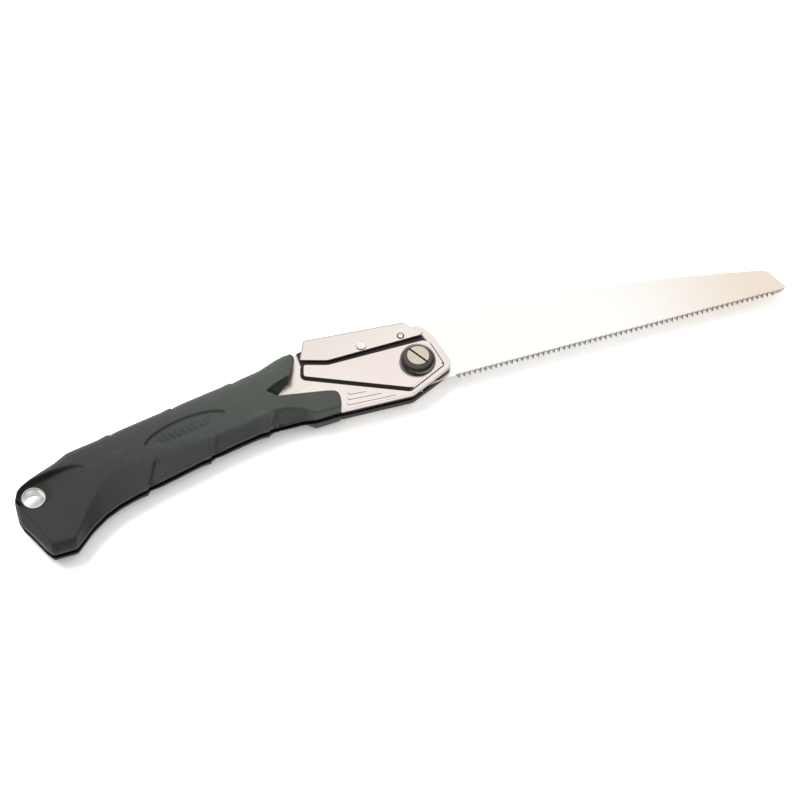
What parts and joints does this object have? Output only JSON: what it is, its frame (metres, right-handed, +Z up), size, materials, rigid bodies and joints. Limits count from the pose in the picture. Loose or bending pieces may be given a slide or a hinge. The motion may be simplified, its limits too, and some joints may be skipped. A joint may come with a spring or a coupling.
{
  "type": "folding pruning saw",
  "caption": "Straight pruning blade that folds into a curved rubber-covered handle with a plated head, a thumb lock lever and a lanyard hole.",
  "frame": {"origin": "middle of the open saw's bounding box, on its lowest face", "axes": "+X from the butt towards the blade tip, +Y from the teeth towards the spine, +Z up through the saw lying flat"},
  "size_m": [0.4472, 0.0876, 0.022],
  "materials": {
    "blade_steel": "fine ground, bright",
    "plated_casting": "bright nickel plated die casting",
    "plated_sheet": "bright plated pressed sheet",
    "plated_steel": "bright plated",
    "spring_steel": "drawn wire",
    "black_steel": "gloss blackened shoulder, turned face",
    "washer_plastic": "moulded",
    "grip_rubber": "fine matte moulded elastomer"
  },
  "bodies": {
    "handle": {"frame_upper": "plated_casting", "frame_lower": "plated_casting", "grip_upper": "grip_rubber", "grip_lower": "grip_rubber", "lever_rivet": "plated_steel", "lever_spring": "spring_steel", "spring_guide": "spring_steel", "pivot_screw": "black_steel", "pivot_bush": "plated_steel", "pivot_nut": "plated_steel", "spring_washer": "spring_steel", "blade_washer_upper": "washer_plastic", "blade_washer_lower": "washer_plastic", "frame_screws": "plated_steel", "frame_dowels": "plated_steel", "heel_rivet": "plated_steel", "lanyard_eyelet": "plated_steel"},
    "blade": {"blade": "blade_steel"},
    "lever": {"lock_lever": "plated_sheet", "lock_pin": "plated_steel"}
  },
  "joints": [
    {"name": "blade_fold", "type": "hinge", "parent": "handle", "child": "blade", "pos_m": [0.0046, 0.0122, 0.0099], "axis": [0, 0, 1], "range_deg": [-169, 0]},
    {"name": "lever_press", "type": "hinge", "parent": "handle", "child": "lever", "pos_m": [-0.0217, 0.0309, 0.0099], "axis": [0, 0, 1], "range_deg": [-5, 3], "stiffness_Nm_per_rad": 0.3, "springref_deg": -14.32, "deforming": ["lever_spring"]}
  ]
}
